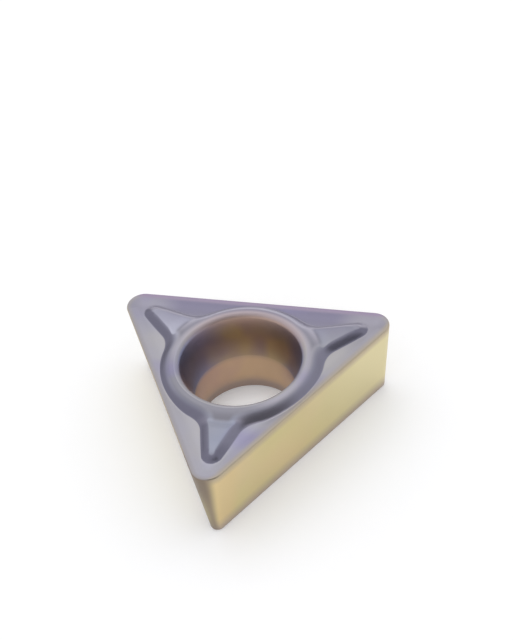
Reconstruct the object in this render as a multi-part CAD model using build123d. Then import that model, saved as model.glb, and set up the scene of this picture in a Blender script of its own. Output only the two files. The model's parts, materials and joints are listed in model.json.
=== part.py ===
"""A three-cornered indexable cutting insert with a clamping-screw hole.

Millimetres, +Z up. The origin is on the screw axis in the flat seat, and one
corner points to -Y. One pressed and sintered piece, so one solid.
"""

import os
from math import radians, sin, tan

from build123d import *

# Body
inscribed_circle = 6.35
seat_to_edge = 3.18
clearance_angle = 7.0
nose_radius = 0.65
edge_hone = 0.07
base_break = 0.10

# Rake face, from the cutting edge inwards
rake_angle = 12.0
groove_depth = 0.11

# Chipbreaker: a ring about the hole, with an arm towards each corner
side_land = 0.24
ring_rise = 0.20
ring_width = 0.40
wall_angle = 45.0
arm_setback = 1.16
arm_half_angle = 15.0
arm_tip_radius = 0.05
arm_root_radius = 0.60

# The saddle that sets each arm's island off from the ring
saddle_run = 0.35
saddle_drop = 0.15
island_run = 0.18
island_drop = 0.09

# The island's sloping end, which starts this far in from the arm's foot
brow_run = 0.53
brow_angle = 18.0

# Screw hole
bore_diameter = 3.75
bore_length = 1.65
seat_bow = 0.06
mouth_radius = 0.22

corner_angles = (30, 150, 270)
side_turn = 60

edge_radius = inscribed_circle / 2
corner_reach = edge_radius / sin(radians(30))
nose_centre = corner_reach - nose_radius / sin(radians(30))
nose_tip = nose_centre + nose_radius
side_run = 2 * nose_centre * sin(radians(side_turn))
ring_top = seat_to_edge + ring_rise
groove_floor = seat_to_edge - groove_depth
rake_run = groove_depth / tan(radians(rake_angle))

land_fall = side_land * tan(radians(rake_angle))
ring_outer = edge_radius - side_land - (ring_rise + land_fall) / tan(radians(wall_angle))
arm_foot = nose_tip - arm_setback + (ring_top - groove_floor) / tan(radians(wall_angle))
mouth = ring_outer - ring_width
bore = bore_diameter / 2


def edge_section():
    """The flank, cutting edge and rake: x outwards from the nose centres, y up."""
    foot = nose_radius - seat_to_edge * tan(radians(clearance_angle))
    edge = (nose_radius, seat_to_edge)
    rake_foot = (nose_radius - rake_run, groove_floor)
    section = Polygon((0, 0), (foot, 0), edge, rake_foot, (0, groove_floor), align=None)
    section = fillet(section.vertices().sort_by_distance((*edge, 0))[0], edge_hone)
    return chamfer(section.vertices().sort_by_distance((foot, 0, 0))[0], base_break)


def flanked_body():
    """The tapered body with its flat seat, up to the honed cutting edge."""
    centres = [Rot(0, 0, angle) * Pos(nose_centre, 0, 0) for angle in corner_angles]
    body = extrude(
        Polygon(*[centre.position for centre in centres], align=None), amount=groove_floor
    )
    section = edge_section()
    solid_side = Pos(nose_radius, 0, 0) * Rectangle(2 * nose_radius, 4 * seat_to_edge)
    nose = revolve(
        Plane.XZ * (section & solid_side), axis=Axis.Z, revolution_arc=2 * side_turn
    )
    side = extrude(Plane.XZ * section, amount=side_run)
    for centre in centres:
        body += centre * Rot(0, 0, -side_turn) * nose
        body += centre * Rot(0, 0, -side_turn) * side
    return body


def breaker_outline():
    """The ring's crest with its three tapering arms, seen from above."""
    tip_overrun = arm_tip_radius * (1 / sin(radians(arm_half_angle)) - 1)
    apex = nose_tip - arm_setback + tip_overrun
    root_half_width = apex * tan(radians(arm_half_angle))
    arm = Polygon((0, -root_half_width), (apex, 0), (0, root_half_width), align=None)
    arm = fillet(arm.vertices().sort_by(Axis.X)[-1], arm_tip_radius)
    outline = Rot(0, 0, corner_angles[0]) * Circle(ring_outer)
    for angle in corner_angles:
        outline += Rot(0, 0, angle) * arm
    roots = [v for v in outline.vertices() if abs(v.center().length - ring_outer) < 1e-4]
    return fillet(roots, arm_root_radius)


def saddle_cutter():
    """What lies above the saddles and the islands with their sloping ends."""
    saddle = ring_outer + saddle_run
    island_top = ring_top - island_drop
    brow = arm_foot - brow_run
    profile = Polygon(
        (ring_outer, ring_top),
        (saddle, ring_top - saddle_drop),
        (saddle + island_run, island_top),
        (brow, island_top),
        (corner_reach, island_top - (corner_reach - brow) * tan(radians(brow_angle))),
        (corner_reach, ring_top + ring_rise),
        (ring_outer, ring_top + ring_rise),
        align=None,
    )
    return revolve(Plane.XZ * profile, axis=Axis.Z)


def screw_hole():
    """A plain bore below, a bowed seat for the screw head and a rounded mouth."""
    rim = (mouth, ring_top)
    throat = (bore, bore_length)
    seat = SagittaArc(rim, throat, -seat_bow)
    below = Polyline(throat, (bore, 0), (0, 0), (0, ring_top + ring_rise))
    above = Polyline(
        (0, ring_top + ring_rise), (ring_outer, ring_top + ring_rise), (ring_outer, ring_top), rim
    )
    profile = make_face(seat + below + above)
    corner = profile.vertices().sort_by_distance((*rim, 0))[0]
    return revolve(Plane.XZ * fillet(corner, mouth_radius), axis=Axis.Z)


def insert():
    outline = Plane.XY.offset(ring_top) * breaker_outline()
    breaker = extrude(outline, amount=groove_floor - ring_top, taper=wall_angle - 90)
    return flanked_body() + (breaker - saddle_cutter()) - screw_hole()


os.makedirs("parts", exist_ok=True)
body = insert()
body.label = "insert_body"
export_step(body, "parts/insert_body.step")
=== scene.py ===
"""Studio view of a coated triangular turning insert, in metres in the CAD's frame.

The CAD solid has the insert's true form with sharp chipbreaker corners. The
piece made here is the same form as a fine mesh, with the small radii of a
pressed and sintered part, on which the coating catches the light. Several of
the coating's tones follow how the photograph is lit at that place.
"""

import json
from math import cos, pi, radians, sin, tan

import bpy
import numpy as np
from mathutils import Matrix, Vector


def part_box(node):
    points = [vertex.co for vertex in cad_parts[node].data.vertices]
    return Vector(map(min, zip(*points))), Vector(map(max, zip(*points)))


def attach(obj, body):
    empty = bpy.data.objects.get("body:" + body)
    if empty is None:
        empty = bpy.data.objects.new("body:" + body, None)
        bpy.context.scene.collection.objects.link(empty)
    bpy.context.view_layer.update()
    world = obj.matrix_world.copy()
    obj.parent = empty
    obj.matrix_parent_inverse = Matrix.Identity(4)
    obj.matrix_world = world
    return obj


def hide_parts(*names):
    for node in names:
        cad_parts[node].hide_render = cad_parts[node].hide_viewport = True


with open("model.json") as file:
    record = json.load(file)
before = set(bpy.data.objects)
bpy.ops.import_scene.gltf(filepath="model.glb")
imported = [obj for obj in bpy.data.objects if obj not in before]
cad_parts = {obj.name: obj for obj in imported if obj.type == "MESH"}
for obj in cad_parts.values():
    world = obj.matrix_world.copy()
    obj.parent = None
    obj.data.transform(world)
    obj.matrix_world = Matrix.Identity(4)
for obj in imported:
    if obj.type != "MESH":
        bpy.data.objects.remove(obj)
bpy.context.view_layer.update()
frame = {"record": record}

MM = 0.001

mounts = {mount["name"]: mount for mount in frame["record"]["mounts"]}

# Sizes of the solid, in millimetres
INSCRIBED_CIRCLE = 6.35
RING_RISE = 0.20
RING_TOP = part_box("insert_body")[1].z / MM
SEAT_TO_EDGE = RING_TOP - RING_RISE
CLEARANCE = radians(7.0)
NOSE_RADIUS = 0.65
EDGE_HONE = 0.07
BASE_BREAK = 0.10
RAKE = radians(12.0)
GROOVE_DEPTH = 0.11
SIDE_LAND = 0.24
RING_WIDTH = 0.40
WALL = radians(45.0)
ARM_SETBACK = 1.16
ARM_HALF_ANGLE = radians(15.0)
ARM_TIP_RADIUS = 0.05
SADDLE_RUN = 0.35
SADDLE_DROP = 0.15
ISLAND_RUN = 0.18
ISLAND_DROP = 0.09
BROW_RUN = 0.53
BROW_ANGLE = radians(18.0)
BORE = mounts["screw_hole"]["dims"]["r_mm"]
BORE_LENGTH = mounts["screw_hole"]["dims"]["length_mm"]
SEAT_BOW = 0.06
MOUTH_RADIUS = 0.22

# How wide walls, crests and saddles run into each other, and the radii at the bore's two
# ends: all of them sharp in the solid
FOOT_BLEND = 0.07
CREST_BLEND = 0.15
SADDLE_BLEND = 0.12
THROAT_RADIUS = 0.25
BORE_EDGE_RADIUS = 0.05

# How wide ring and arms run into each other, where the solid has a fillet
ROOT_BLEND = 0.45

CORNERS = [radians(a) for a in (30, 150, 270)]
SIDE_TURN = radians(60)

EDGE_RADIUS = INSCRIBED_CIRCLE / 2
CORNER_REACH = EDGE_RADIUS / sin(radians(30))
NOSE_CENTRE = CORNER_REACH - 2 * NOSE_RADIUS
NOSE_TIP = NOSE_CENTRE + NOSE_RADIUS
RING_OUTER = EDGE_RADIUS - SIDE_LAND - (RING_RISE + SIDE_LAND * tan(RAKE)) / tan(WALL)
ARM_FOOT = NOSE_TIP - ARM_SETBACK + (RING_RISE + GROOVE_DEPTH) / tan(WALL)
MOUTH = RING_OUTER - RING_WIDTH

# Where the coat's tones change. Each pair says where a tone starts and where it is full,
# in millimetres where nothing else is said

# Walls, by their slope, and the ones that face the back or, within a spread, PALE_TURN
# The walls get painted shade, less dark where they face PALE_TURN and faded where they face the
# back; the slopes that face the back get painted light
SLOPE_PROBE = 0.01
LEAST_SLOPE = 1e-6
WALL_SLOPES = (0.20, 0.32)
BACK_SLOPES = (0.1, 0.4)
BACK_FACING = (0.2, 0.7)
BACK_WALL_FADE = 0.85
PALE_TURN = radians(50)
PALE_SPREAD = 0.35

# Out from the ring's outer edge, and in from the outline of ring and arms
SADDLE_START = (-0.20, 0.05)
SADDLE_END = (0.45, 0.20)
RING_WALL_END = (0.6, 0.3)
SADDLE_INSIDE = (0.05, 0.25)

# Over the rake side: heights above the edge, and places out from the screw axis
CREST_HEIGHTS = (-0.02, 0.06)
# Towards CARD_TURN, near the ring, the walls' painted shade is lighter
CARD_TURN = radians(50)
CARD_WALL = (1.5, 2.4)
# Towards FRONT_SHADE_TURN the ring is darker: painted shade
FRONT_SHADE_TURN = radians(65)
FRONT_SHADE = (0.8, 2.0)
LEFT_ISLAND = (1.5, 2.4)
# Towards the back the rake side is darker: painted shade
BACK_SHADE = (0.9, 2.9)

# The painted back shade's loss near a corner, out from the nose's centre
BACK_SHADE_CORNER = (1.6, 0.4)
BACK_SHADE_CORNER_LOSS = 0.5

# In from the edges, and for the hone as shares of its radius
BACK_RIM = (0.30, 0.10)
EDGE_BAND = 0.26
GOLD_EDGE_BAND = 1.3 * EDGE_BAND
GOLD_SIDE = radians(-30)
HONE_TURN = (0.95, 0.25)

# On the flanks: down from the edge, up from the seat, and along towards the right
FLANK_BAND = 0.32
# The flank is darker up to this height over the seat: painted shade at its foot
FOOT_SHADE_HEIGHT = 0.62
PALE_END = (2.2, 4.2)

# On the noses: turns from their middle, runs in from their centre, heights over the seat
FRONT_NOSE = radians(270)
NOSE_BAND = radians(40)
NOSE_BLUSH_TURN = (radians(-5), NOSE_BAND)
NOSE_BLUSH_RUN = 0.75
NOSE_SHADE_RUN = 0.9
NOSE_SHADE_HEIGHTS = (1.0, 2.6)
NOSE_SHADE_LEAST = 0.65

# In the hole: out from its mouth, up from the bore's top, and heights over the seat
HOLE_RIM = 0.05
MOUTH_TURN_START = (-0.06, 0.0)
MOUTH_TURN_END = (0.2, 0.05)
# The back of the mouth is lighter: a painted highlight
MOUTH_HIGHLIGHT_END = (0.36, 0.02)
MOUTH_HIGHLIGHT_FACING = (0.1, 0.8)
BORE_TOP = (0.02, -0.05)
# The bore is darker towards its foot: painted shade
BORE_FOOT_SHADE = (0.55, 0.25)
SEAT_SHADE_POWER = 4

# The coating's tones. In a table each lies over those before it, as far as the mask of
# its name says
GOLD, YELLOW_GOLD, RED_GOLD = (0.64, 0.545, 0.30), (0.65, 0.585, 0.285), (0.76, 0.58, 0.36)
FLANK_TONES = {
    "pale_end": (0.72, 0.64, 0.38),
    "nose_band": (0.50, 0.41, 0.27),
    "nose_blush": (0.72, 0.57, 0.31),
    # painted shade: the flank darker at its foot, where the gold reflects the shaded table
    "foot_band": (0.45, 0.37, 0.31),
    "flank_edge": (0.50, 0.42, 0.30),
    "nose_shade": (0.24, 0.19, 0.145),
}
LAND, BLUE_LAND = (0.42, 0.405, 0.42), (0.39, 0.385, 0.45)
CREST, BLUE_CREST = (0.325, 0.325, 0.375), (0.295, 0.31, 0.39)
CREST_TONES = {"left_island": (0.43, 0.43, 0.52)}
# The ring's front tone is darker: painted shade
RING, SHADED_FRONT_RING = (0.385, 0.37, 0.425), (0.265, 0.26, 0.30)
# Painted shade in the saddles and towards the back of the rake side
RAKE_TONES = {"saddle": (0.235, 0.23, 0.27), "back_tint": (0.225, 0.212, 0.295)}
VIOLET = (0.265, 0.24, 0.43)
RIM_TONES = {
    "rake_edge": (0.35, 0.33, 0.35),
    "back_rim": (0.31, 0.255, 0.36),
    "gold_edge": (0.43, 0.375, 0.31),
    # painted light: lighter on the slopes that face the back
    "back_wall": (0.46, 0.44, 0.52),
}
# Painted shade on the chipbreaker's walls, lighter where they face the card and where they are
# pale
PAINTED_WALL_SHADE = (0.172, 0.167, 0.225)
PAINTED_WALL_SHADES = {"card_wall": (0.32, 0.305, 0.375), "pale_wall": (0.215, 0.21, 0.275)}
# A painted highlight: lighter copper pink on the back of the hole's mouth
MOUTH_HIGHLIGHTS = {"mouth_back": (0.50, 0.42, 0.44)}
SEAT, BROWN_SEAT = (0.36, 0.27, 0.27), (0.50, 0.38, 0.22)
SEAT_TONES = {"mouth": (0.53, 0.385, 0.33), "seat_shade": (0.27, 0.29, 0.46)}
BORE_TONE, BROWN_BORE = (0.56, 0.38, 0.29), (0.61, 0.43, 0.275)
# Painted shade: the bore darker towards its foot
BORE_SHADES = {"bore_foot": (0.44, 0.34, 0.29)}

# Patches in the coating: spots to the metre, detail, and the noise's level at which a
# patch starts and is full
CLOUDS = (420.0, 2.0, 0.35, 0.65)
RED_PATCHES = (260.0, 1.0, 0.50, 0.85)
VIOLET_PATCHES = (330.0, 2.0, 0.52, 0.78)
BROWN_PATCHES = (700.0, 1.0, 0.40, 0.62)
PATCH_ROUGHNESS = 0.5

# The coating's grain: spots to the metre, detail and roughness of its noise, the levels
# at which the coating is smoothest and roughest, and how the grain stands out
GRAIN = (26000.0, 3.0, 0.6)
GRAIN_LEVELS = (0.2, 0.8)
SMOOTH, ROUGH, MOUTH_ROUGH = 0.34, 0.46, 0.62
GRAIN_DEPTH = 0.004 * MM
GRAIN_STRENGTH = 0.25

# Mesh density: columns round the outline, rows over the rake side, and steps in each
# stretch of the two sections
NOSE_COLUMNS = 36
SIDE_COLUMNS = 140
TOP_ROWS = 100
HONE_STEPS = 8
FLANK_STEPS = 10
BREAK_STEPS = 6
BORE_EDGE_STEPS = 5
BORE_STEPS = 8
THROAT_STEPS = 3
SEAT_STEPS = 13
MOUTH_STEPS = 10

# The base's rows of points, as shares of the way in from the flanks to the bore
BASE_ROWS = (0.3, 0.6, 0.85)

# The photograph's camera, fitted to the insert's outline: angles in degrees, lengths in
# metres, and the focal length and frame in the photograph's pixels
AZIMUTH, ELEVATION, ROLL = 18.70, 44.00, -8.30
DISTANCE = 77.0 * MM
AIM_RIGHT, AIM_UP = 0.571 * MM, 1.540 * MM
FOCAL_PX = 2121.0
PHOTO_HEIGHT_PX = 640
SENSOR_WIDTH = 36.0
NEAREST = 1.0 * MM

# How far in from the bore's wall the painted pool of light on the table is full, as a share of its
# radius
HOLE_LIGHT_POOL_FULL = 0.4
CARD_ROUGHNESS = 0.9


def blend_max(a, b, width):
    """The larger of a and b, rounded where they are within width of each other."""
    near = np.clip(1 - np.abs(a - b) / width, 0, 1)
    return np.maximum(a, b) + near**2 * width / 4


def blend_min(a, b, width):
    return -blend_max(-a, -b, width)


def step(value, start, full):
    """0 before start, 1 past full and smooth between; full may be the lower of the two."""
    t = np.clip((value - start) / (full - start), 0, 1)
    return t * t * (3 - 2 * t)


def shifted(band, by):
    """A band's start and full, moved by as much."""
    return band[0] + by, band[1] + by


def turned(x, y, corner):
    """Across and along a corner's own line, from its nose centre."""
    along = x * cos(corner) + y * sin(corner) - NOSE_CENTRE
    across = -x * sin(corner) + y * cos(corner)
    return across, along


def edge_gap(x, y):
    """How far in from the cutting edge a point lies, in plan."""
    turns = [corner + SIDE_TURN for corner in CORNERS]
    side_gaps = [EDGE_RADIUS - x * cos(turn) - y * sin(turn) for turn in turns]
    gap = np.minimum.reduce(side_gaps)
    for corner in CORNERS:
        across, along = turned(x, y, corner)
        in_nose = along > np.abs(across) * tan(radians(30))
        gap = np.where(in_nose, NOSE_RADIUS - np.hypot(along, across), gap)
    return gap


def breaker_gap(x, y):
    """How far out from the crest of the ring and arms a point lies, in plan."""
    gap = np.hypot(x, y) - RING_OUTER
    tip_centre = NOSE_TIP - ARM_SETBACK - ARM_TIP_RADIUS
    for corner in CORNERS:
        along = x * cos(corner) + y * sin(corner) - tip_centre
        across = np.abs(-x * sin(corner) + y * cos(corner))
        side = along * sin(ARM_HALF_ANGLE) + across * cos(ARM_HALF_ANGLE)
        past_tip = along * cos(ARM_HALF_ANGLE) > across * sin(ARM_HALF_ANGLE)
        arm = np.where(past_tip, np.hypot(along, across), side) - ARM_TIP_RADIUS
        arm = np.maximum(arm, -along - tip_centre)
        gap = blend_min(gap, arm, ROOT_BLEND)
    return gap


def rake_height(x, y):
    """Height of the rake side above the cutting edge."""
    groove = blend_max(-edge_gap(x, y) * tan(RAKE), -GROOVE_DEPTH + 0 * x, FOOT_BLEND / 2)
    reach = np.hypot(x, y)
    past_ring = reach - RING_OUTER
    fall = RING_RISE - past_ring * SADDLE_DROP / SADDLE_RUN
    climb = (past_ring - SADDLE_RUN) * (SADDLE_DROP - ISLAND_DROP) / ISLAND_RUN
    climb = blend_min(climb, SADDLE_DROP - ISLAND_DROP, SADDLE_BLEND / 2) + RING_RISE - SADDLE_DROP
    brow = RING_RISE - ISLAND_DROP - (reach - ARM_FOOT + BROW_RUN) * tan(BROW_ANGLE)
    island = blend_min(climb, brow, SADDLE_BLEND)
    crest = blend_min(blend_max(fall, island, SADDLE_BLEND), RING_RISE + 0 * x, SADDLE_BLEND)
    wall = RING_RISE - breaker_gap(x, y) * tan(WALL)
    return blend_max(groove, blend_min(crest, wall, CREST_BLEND), FOOT_BLEND)


def wall_tones(x, y):
    """Masks of the painted shade on the walls with the brows, lighter on the pale walls, of the
    painted shade in the saddles and of the painted light on the back walls.
    """
    probe = SLOPE_PROBE
    slope_x = (rake_height(x + probe, y) - rake_height(x - probe, y)) / (2 * probe)
    slope_y = (rake_height(x, y + probe) - rake_height(x, y - probe)) / (2 * probe)
    slope = np.maximum(np.hypot(slope_x, slope_y), LEAST_SLOPE)
    reach = np.hypot(x, y)
    past_ring = reach - RING_OUTER
    inside = -breaker_gap(x, y)

    facing = -(slope_x * cos(PALE_TURN) + slope_y * sin(PALE_TURN)) / slope
    pale = step(facing, -PALE_SPREAD, PALE_SPREAD) * step(inside, CREST_BLEND, 0)
    pale *= step(reach, ARM_FOOT - BROW_RUN, ARM_FOOT - 2 * BROW_RUN)

    back = step(-slope_y / slope, *BACK_FACING) * step(slope, *BACK_SLOPES)
    on_island = step(inside, -CREST_BLEND, CREST_BLEND) * (reach < ARM_FOOT - BROW_RUN)
    wall = step(slope, *WALL_SLOPES) * (1 - on_island) * (1 - BACK_WALL_FADE * back)

    by_ring = step(past_ring, *SADDLE_START) * step(past_ring, *SADDLE_END)
    return {
        "wall": wall,
        "pale_wall": pale,
        "saddle": step(inside, *SADDLE_INSIDE) * by_ring,
        "back_wall": back,
    }


def round_corner(before, corner, after, radius, steps):
    """The arc that rounds a section's corner, from the side of before to that of after."""
    before, corner, after = (np.array(p, float) for p in (before, corner, after))
    back = (before - corner) / np.linalg.norm(before - corner)
    on = (after - corner) / np.linalg.norm(after - corner)
    half = np.arccos(back @ on) / 2
    middle = (back + on) / np.linalg.norm(back + on)
    centre = corner + middle * radius / sin(half)
    first = corner + back * radius / tan(half) - centre
    last = corner + on * radius / tan(half) - centre
    turn = pi - 2 * half
    return [
        centre + (first * sin((1 - f) * turn) + last * sin(f * turn)) / sin(turn)
        for f in np.linspace(0, 1, steps + 1)
    ]


def run(start, end, steps):
    """Points between start and end, both left out."""
    start, end = np.array(start, float), np.array(end, float)
    return [start + (end - start) * k / steps for k in range(1, steps)]


def flank_section():
    """From the rake over the honed edge, down the flank and round to the base."""
    edge = (NOSE_RADIUS, SEAT_TO_EDGE)
    foot = (NOSE_RADIUS - SEAT_TO_EDGE * tan(CLEARANCE), 0)
    on_rake = (0, SEAT_TO_EDGE - NOSE_RADIUS * tan(RAKE))
    hone = round_corner(on_rake, edge, foot, EDGE_HONE, HONE_STEPS)
    base = round_corner(edge, foot, (0, 0), BASE_BREAK, BREAK_STEPS)
    return hone, hone + run(hone[-1], base[0], FLANK_STEPS) + base


def hole_section():
    """From the base up the bore and the bowed seat to the ring's crest."""
    rim, throat = np.array((MOUTH, RING_TOP)), np.array((BORE, BORE_LENGTH))
    chord = rim - throat
    inward = np.array((-chord[1], chord[0])) / np.linalg.norm(chord)
    bow = (rim + throat) / 2 + inward * 2 * SEAT_BOW
    base = (CORNER_REACH, 0)
    bottom = round_corner(base, (BORE, 0), throat, BORE_EDGE_RADIUS, BORE_EDGE_STEPS)
    neck = round_corner((BORE, 0), throat, bow, THROAT_RADIUS, THROAT_STEPS)
    mouth = round_corner(bow, rim, (CORNER_REACH, RING_TOP), MOUTH_RADIUS, MOUTH_STEPS)
    seat = [
        neck[-1] * (1 - f) ** 2 + bow * 2 * f * (1 - f) + mouth[0] * f**2
        for f in np.linspace(0, 1, SEAT_STEPS + 1)[1:-1]
    ]
    return bottom + run(bottom[-1], neck[0], BORE_STEPS) + neck + seat + mouth


def columns():
    """The outline's nose-centre line and its outward normals, anticlockwise."""
    centres, normals = [], []
    for here, there in zip(CORNERS, CORNERS[1:] + CORNERS[:1]):
        start = np.array((cos(here), sin(here))) * NOSE_CENTRE
        end = np.array((cos(there), sin(there))) * NOSE_CENTRE
        for turn in np.linspace(here - SIDE_TURN, here + SIDE_TURN, NOSE_COLUMNS + 1):
            centres.append(start)
            normals.append((cos(turn), sin(turn)))
        for point in run(start, end, SIDE_COLUMNS):
            centres.append(point)
            normals.append((cos(here + SIDE_TURN), sin(here + SIDE_TURN)))
    return np.array(centres), np.array(normals)


def ring_row(plan, z):
    return np.column_stack([plan, np.broadcast_to(z, len(plan))])


def insert_rows():
    """Closed rows of points round the insert, and the zone that each row is in."""
    centres, normals = columns()
    hone, flank = flank_section()
    hole = hole_section()
    outer = centres + normals * hone[0][0]
    headings = outer / np.linalg.norm(outer, axis=1)[:, None]
    rows, zones = [], []
    for radius, z in hole:
        rows.append(ring_row(headings * radius, z))
        zones.append("hole")
    inner = headings * hole[-1][0]
    for f in np.linspace(0, 1, TOP_ROWS + 1)[1:-1]:
        plan = inner + (outer - inner) * f
        rows.append(ring_row(plan, SEAT_TO_EDGE + rake_height(plan[:, 0], plan[:, 1])))
        zones.append("rake")
    for k, (reach, z) in enumerate(flank):
        rows.append(ring_row(centres + normals * reach, z))
        zones.append("hone" if k < len(hone) else "flank")
    base = centres + normals * flank[-1][0]
    for f in BASE_ROWS:
        plan = base + (headings * hole[0][0] - base) * f
        rows.append(ring_row(plan, 0.0))
        zones.append("flank")
    return np.array(rows), zones


def nose_masks(x, y, z):
    """The flank's tones round its noses, most of them at the front one."""
    off_nose = np.min([abs(np.arctan2(*turned(x, y, corner))) for corner in CORNERS], axis=0)
    across, along = turned(x, y, FRONT_NOSE)
    past_nose = step(np.arctan2(across, along), *NOSE_BLUSH_TURN)
    upper = step(z, *NOSE_SHADE_HEIGHTS)
    upper = NOSE_SHADE_LEAST + (1 - NOSE_SHADE_LEAST) * upper
    return {
        "nose_band": step(off_nose, NOSE_BAND, 0),
        "nose_shade": (1 - past_nose) * step(-along, NOSE_SHADE_RUN, 0) * upper,
        "nose_blush": past_nose * step(-along, NOSE_BLUSH_RUN, 0) * (across > 0),
    }


def flank_masks(x, y, z):
    return {
        "flank_edge": step(z, SEAT_TO_EDGE - FLANK_BAND, SEAT_TO_EDGE - EDGE_HONE),
        # painted shade at the flank's foot
        "foot_band": step(z, FOOT_SHADE_HEIGHT, BASE_BREAK),
        "pale_end": step(x, *PALE_END),
        **nose_masks(x, y, z),
    }


def rake_masks(x, y, z, on_rake):
    """The rake side's tones; on_rake is 1 between the hole's mouth and the honed edge."""
    radius, height = np.hypot(x, y), z - SEAT_TO_EDGE
    off_corner = np.min([np.hypot(*turned(x, y, corner)) for corner in CORNERS], axis=0)
    shade_loss = BACK_SHADE_CORNER_LOSS * step(off_corner, *BACK_SHADE_CORNER)
    gold_gap = EDGE_RADIUS - x * cos(GOLD_SIDE) - y * sin(GOLD_SIDE)
    to_card = x * cos(CARD_TURN) - y * sin(CARD_TURN)
    to_front = -x * cos(FRONT_SHADE_TURN) - y * sin(FRONT_SHADE_TURN)
    by_ring = step(radius, *shifted(RING_WALL_END, RING_OUTER))
    walls = wall_tones(x, y)
    return {
        # painted shade: the walls darker, less so where they are pale or face the card
        "wall": walls["wall"] * on_rake,
        "pale_wall": walls["pale_wall"],
        # painted shade in the saddles
        "saddle": walls["saddle"] * on_rake,
        # painted light on the slopes that face the back
        "back_wall": walls["back_wall"] * on_rake,
        "card_wall": step(to_card, *CARD_WALL) * by_ring,
        "crest": step(height, *CREST_HEIGHTS) * on_rake,
        "ring": step(height, RING_RISE - ISLAND_DROP, RING_RISE) * on_rake,
        # painted shade on the ring's front
        "front_shade": step(to_front, *FRONT_SHADE),
        "left_island": step(-x, *LEFT_ISLAND),
        # painted shade, darker towards the back
        "back_tint": step(y, *BACK_SHADE) * (1 - shade_loss),
        "back_rim": step(EDGE_RADIUS - y, *BACK_RIM),
        "rake_edge": step(edge_gap(x, y), EDGE_BAND, EDGE_BAND / 3),
        "gold_edge": step(gold_gap, GOLD_EDGE_BAND, EDGE_BAND / 3),
    }


def hole_masks(x, y, z, in_hole):
    """The screw hole's tones and those of its mouth's rounding."""
    radius, height = np.hypot(x, y), z - SEAT_TO_EDGE
    mouth_turn = step(radius, *shifted(MOUTH_TURN_START, MOUTH))
    mouth_turn *= step(radius, *shifted(MOUTH_TURN_END, MOUTH))
    mouth_back = step(radius, *shifted(MOUTH_HIGHLIGHT_END, MOUTH))
    return {
        "screw_hole": step(radius, MOUTH + HOLE_RIM, MOUTH - HOLE_RIM) * in_hole,
        "mouth": step(height, RING_RISE - 3 * MOUTH_RADIUS, RING_RISE) * in_hole,
        "mouth_turn": mouth_turn,
        # painted highlight on the back of the mouth
        "mouth_back": step(y / radius, *MOUTH_HIGHLIGHT_FACING) * mouth_back,
        "bore": step(z, *shifted(BORE_TOP, BORE_LENGTH)) * in_hole,
        # painted shade at the bore's foot
        "bore_foot": step(z, *BORE_FOOT_SHADE) * in_hole,
        "seat_shade": (x / radius) ** SEAT_SHADE_POWER,
    }


def coat_masks(points, zone):
    """How far each point of the mesh has each of the coat's tones, from 0 to 1."""
    x, y, z = points.T
    height = z - SEAT_TO_EDGE
    past_mouth = step(height, RING_RISE - MOUTH_RADIUS, RING_RISE - MOUTH_RADIUS / 2)
    hone_turn = step(-height / EDGE_HONE, *HONE_TURN)
    by_zone = [zone == "hole", zone == "flank", zone == "hone"]
    return {
        "rake_side": np.select(by_zone, [past_mouth, 0, hone_turn], 1),
        **flank_masks(x, y, z),
        **rake_masks(x, y, z, zone == "rake"),
        **hole_masks(x, y, z, zone == "hole"),
    }


def make_insert():
    rows, zones = insert_rows()
    count, across = rows.shape[:2]
    index = np.arange(count * across).reshape(count, across)
    here, on = index, np.roll(index, -1, axis=0)
    quads = np.stack([here, on, np.roll(on, -1, axis=1), np.roll(here, -1, axis=1)], axis=-1)
    mesh = bpy.data.meshes.new("insert_shell")
    points = rows.reshape(-1, 3)
    mesh.from_pydata((points * MM).tolist(), [], quads.reshape(-1, 4).tolist())
    mesh.validate()
    mesh.polygons.foreach_set("use_smooth", [True] * len(mesh.polygons))
    masks = coat_masks(points, np.repeat(zones, across))
    for name, values in masks.items():
        layer = mesh.attributes.new(name, "FLOAT", "POINT")
        layer.data.foreach_set("value", values.astype(np.float32))
    piece = bpy.data.objects.new("insert_shell", mesh)
    bpy.context.scene.collection.objects.link(piece)
    return piece


def node(tree, kind, **values):
    made = tree.nodes.new(kind)
    for name, value in values.items():
        if name in made.inputs:
            made.inputs[name].default_value = value
        else:
            setattr(made, name, value)
    return made


def mixed(tree, factor, first, second):
    """first turning into second, each a colour or a socket, as factor goes to 1."""
    mix = node(tree, "ShaderNodeMix", data_type="RGBA")
    tree.links.new(factor, mix.inputs[0])
    for socket, value in ((6, first), (7, second)):
        if isinstance(value, bpy.types.NodeSocket):
            tree.links.new(value, mix.inputs[socket])
        else:
            mix.inputs[socket].default_value = (*value, 1)
    return mix.outputs[2]


def mask(tree, name):
    return node(tree, "ShaderNodeAttribute", attribute_name=name).outputs["Fac"]


def layered(tree, base, tones):
    """base with each tone of a table laid over it."""
    for name, tone in tones.items():
        base = mixed(tree, mask(tree, name), base, tone)
    return base


def noise(tree, scale, detail, roughness):
    """Noise with this many spots to the metre, fixed to the insert."""
    place = node(tree, "ShaderNodeTexCoord").outputs["Object"]
    made = node(tree, "ShaderNodeTexNoise", Scale=scale, Detail=detail, Roughness=roughness)
    tree.links.new(place, made.inputs["Vector"])
    return made.outputs["Fac"]


def spread(tree, value, low, high):
    """value stretched so that low becomes 0 and high 1."""
    made = node(tree, "ShaderNodeMapRange")
    made.inputs["From Min"].default_value = low
    made.inputs["From Max"].default_value = high
    tree.links.new(value, made.inputs["Value"])
    return made.outputs["Result"]


def patches(tree, scale, detail, start, full):
    """Soft spots of noise, which start at one of its levels and are full at the other."""
    return spread(tree, noise(tree, scale, detail, PATCH_ROUGHNESS), start, full)


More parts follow.
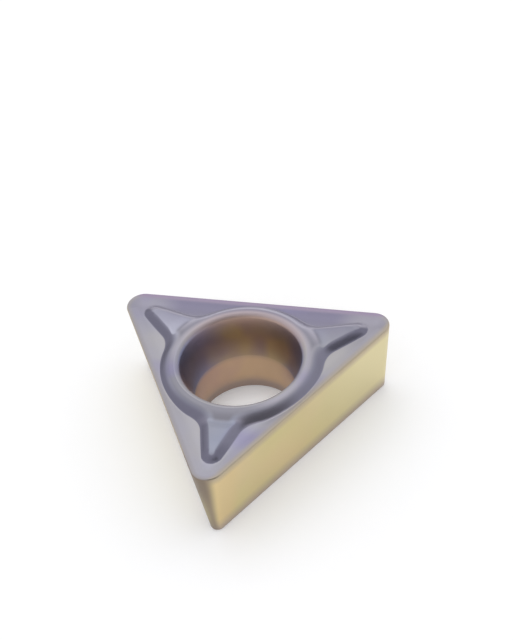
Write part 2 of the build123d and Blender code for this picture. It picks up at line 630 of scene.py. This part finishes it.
def flank_coat(tree, cloud):
    gold = mixed(tree, cloud, GOLD, YELLOW_GOLD)
    gold = mixed(tree, patches(tree, *RED_PATCHES), gold, RED_GOLD)
    return layered(tree, gold, FLANK_TONES)


def rake_coat(tree, cloud):
    """The land and crests with painted shade in the saddles and towards the back, then the violet
    patches, the rims with painted light on the back walls, the walls' painted shade and the
    mouth's painted highlight.
    """
    land = mixed(tree, cloud, LAND, BLUE_LAND)
    crest = layered(tree, mixed(tree, cloud, CREST, BLUE_CREST), CREST_TONES)
    ring = mixed(tree, mask(tree, "front_shade"), RING, SHADED_FRONT_RING)
    crest = mixed(tree, mask(tree, "ring"), crest, ring)
    rake = layered(tree, mixed(tree, mask(tree, "crest"), land, crest), RAKE_TONES)
    rake = mixed(tree, patches(tree, *VIOLET_PATCHES), rake, VIOLET)
    rake = layered(tree, rake, RIM_TONES)
    wall = layered(tree, PAINTED_WALL_SHADE, PAINTED_WALL_SHADES)
    return layered(tree, mixed(tree, mask(tree, "wall"), rake, wall), MOUTH_HIGHLIGHTS)


def hole_coat(tree):
    film = patches(tree, *BROWN_PATCHES)
    seat = layered(tree, mixed(tree, film, SEAT, BROWN_SEAT), SEAT_TONES)
    bore = layered(tree, mixed(tree, film, BORE_TONE, BROWN_BORE), BORE_SHADES)
    return mixed(tree, mask(tree, "bore"), seat, bore)


def coating():
    """Gold on the flanks, lilac grey on the rake and brown in the hole."""
    material = bpy.data.materials.new("coated_carbide")
    material.use_nodes = True
    tree = material.node_tree
    shader = tree.nodes["Principled BSDF"]
    shader.inputs["Metallic"].default_value = 1.0

    cloud = patches(tree, *CLOUDS)
    rake_side = mask(tree, "rake_side")
    colour = mixed(tree, rake_side, flank_coat(tree, cloud), rake_coat(tree, cloud))
    colour = mixed(tree, mask(tree, "screw_hole"), colour, hole_coat(tree))
    tree.links.new(colour, shader.inputs["Base Color"])

    grain = noise(tree, *GRAIN)
    rough = mixed(tree, spread(tree, grain, *GRAIN_LEVELS), (SMOOTH,) * 3, (ROUGH,) * 3)
    rough = mixed(tree, mask(tree, "mouth_turn"), rough, (MOUTH_ROUGH,) * 3)
    tree.links.new(rough, shader.inputs["Roughness"])
    bump = node(tree, "ShaderNodeBump", Strength=GRAIN_STRENGTH, Distance=GRAIN_DEPTH)
    tree.links.new(grain, bump.inputs["Height"])
    tree.links.new(bump.outputs["Normal"], shader.inputs["Normal"])
    return material


def plain(name, colour, roughness):
    material = bpy.data.materials.new(name)
    material.use_nodes = True
    shader = material.node_tree.nodes["Principled BSDF"]
    shader.inputs["Base Color"].default_value = (*colour, 1)
    shader.inputs["Roughness"].default_value = roughness
    return material


def lit_table(colour, roughness, glow, hole_light_pool):
    """A white table top that glows evenly, as if lit from below, and more where it shows through
    the screw hole: a painted pool of light.
    """
    material = plain("lit_table", colour, roughness)
    tree = material.node_tree
    shader = tree.nodes["Principled BSDF"]
    shader.inputs["Emission Color"].default_value = (1, 1, 1, 1)
    place = node(tree, "ShaderNodeTexCoord").outputs["Object"]
    spot = node(tree, "ShaderNodeMapping", Scale=(1 / (BORE * MM),) * 3)
    fade = node(tree, "ShaderNodeTexGradient", gradient_type="SPHERICAL")
    lift = spread(tree, fade.outputs["Fac"], 0.0, HOLE_LIGHT_POOL_FULL)
    lift.node.inputs["To Min"].default_value = glow
    lift.node.inputs["To Max"].default_value = hole_light_pool
    tree.links.new(place, spot.inputs["Vector"])
    tree.links.new(spot.outputs["Vector"], fade.inputs["Vector"])
    tree.links.new(lift, shader.inputs["Emission Strength"])
    return material


def sheet(name, width, depth, material):
    mesh = bpy.data.meshes.new(name)
    w, d = width / 2, depth / 2
    mesh.from_pydata([(-w, -d, 0), (w, -d, 0), (w, d, 0), (-w, d, 0)], [], [(0, 1, 2, 3)])
    mesh.materials.append(material)
    made = bpy.data.objects.new(name, mesh)
    bpy.context.scene.collection.objects.link(made)
    return made


def direction(azimuth, elevation):
    """From the insert towards a place seen at this azimuth, 0 being -Y."""
    a, e = radians(azimuth), radians(elevation)
    return Vector((sin(a) * cos(e), -cos(a) * cos(e), sin(e)))


def card(name, azimuth, elevation, distance, width, depth, shade):
    """A dark board off camera that the coating reflects."""
    board = sheet(name, width, depth, plain(name, (shade,) * 3, CARD_ROUGHNESS))
    towards = direction(azimuth, elevation)
    board.location = towards * distance
    board.rotation_euler = towards.to_track_quat("Z", "Y").to_euler()
    board.visible_camera = False
    board.visible_diffuse = False
    board.visible_shadow = False
    return board


def softbox(name, azimuth, elevation, distance, size, radiance):
    """A round area light turned towards the insert."""
    light = bpy.data.lights.new(name, "AREA")
    light.shape = "DISK"
    light.size = size
    light.energy = radiance * pi * pi * size**2 / 4
    made = bpy.data.objects.new(name, light)
    towards = direction(azimuth, elevation)
    made.location = towards * distance
    made.rotation_euler = towards.to_track_quat("Z", "Y").to_euler()
    bpy.context.scene.collection.objects.link(made)
    return made


def make_camera():
    """The photograph's view: from above one side's right end, turned a little."""
    roll = radians(ROLL)
    back = direction(AZIMUTH, ELEVATION)
    level = Vector((cos(radians(AZIMUTH)), sin(radians(AZIMUTH)), 0))
    rise = back.cross(level)
    right = level * cos(roll) + rise * sin(roll)
    up = rise * cos(roll) - level * sin(roll)
    edge_centre = Vector((0, 0, SEAT_TO_EDGE * MM))
    place = edge_centre + back * DISTANCE + right * AIM_RIGHT + up * AIM_UP
    camera = bpy.data.cameras.new("photo_view")
    camera.sensor_width = SENSOR_WIDTH
    camera.lens = FOCAL_PX * SENSOR_WIDTH / PHOTO_HEIGHT_PX
    camera.clip_start = NEAREST
    made = bpy.data.objects.new("photo_view", camera)
    made.matrix_world = Matrix.Translation(place) @ Matrix((right, up, back)).transposed().to_4x4()
    bpy.context.scene.collection.objects.link(made)
    bpy.context.scene.camera = made


def light_room(strength):
    """An even white room, with colours shown as they are."""
    world = bpy.data.worlds.new("room")
    world.use_nodes = True
    sky = world.node_tree.nodes["Background"]
    sky.inputs["Color"].default_value = (1.0, 1.0, 1.0, 1)
    sky.inputs["Strength"].default_value = strength
    bpy.context.scene.world = world
    bpy.context.scene.view_settings.view_transform = "Standard"


insert = make_insert()
insert.data.materials.append(coating())
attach(insert, "root")
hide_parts("insert_body")

table = lit_table((0.85, 0.855, 0.875), roughness=0.6, glow=0.16, hole_light_pool=0.34)
sheet("floor", width=1.2, depth=1.2, material=table)
light_room(1.0)
softbox("key", azimuth=-150, elevation=60, distance=0.30, size=0.16, radiance=0.5)
card("front_card", azimuth=40, elevation=48, distance=0.25, width=0.30, depth=0.22, shade=0.02)
make_camera()
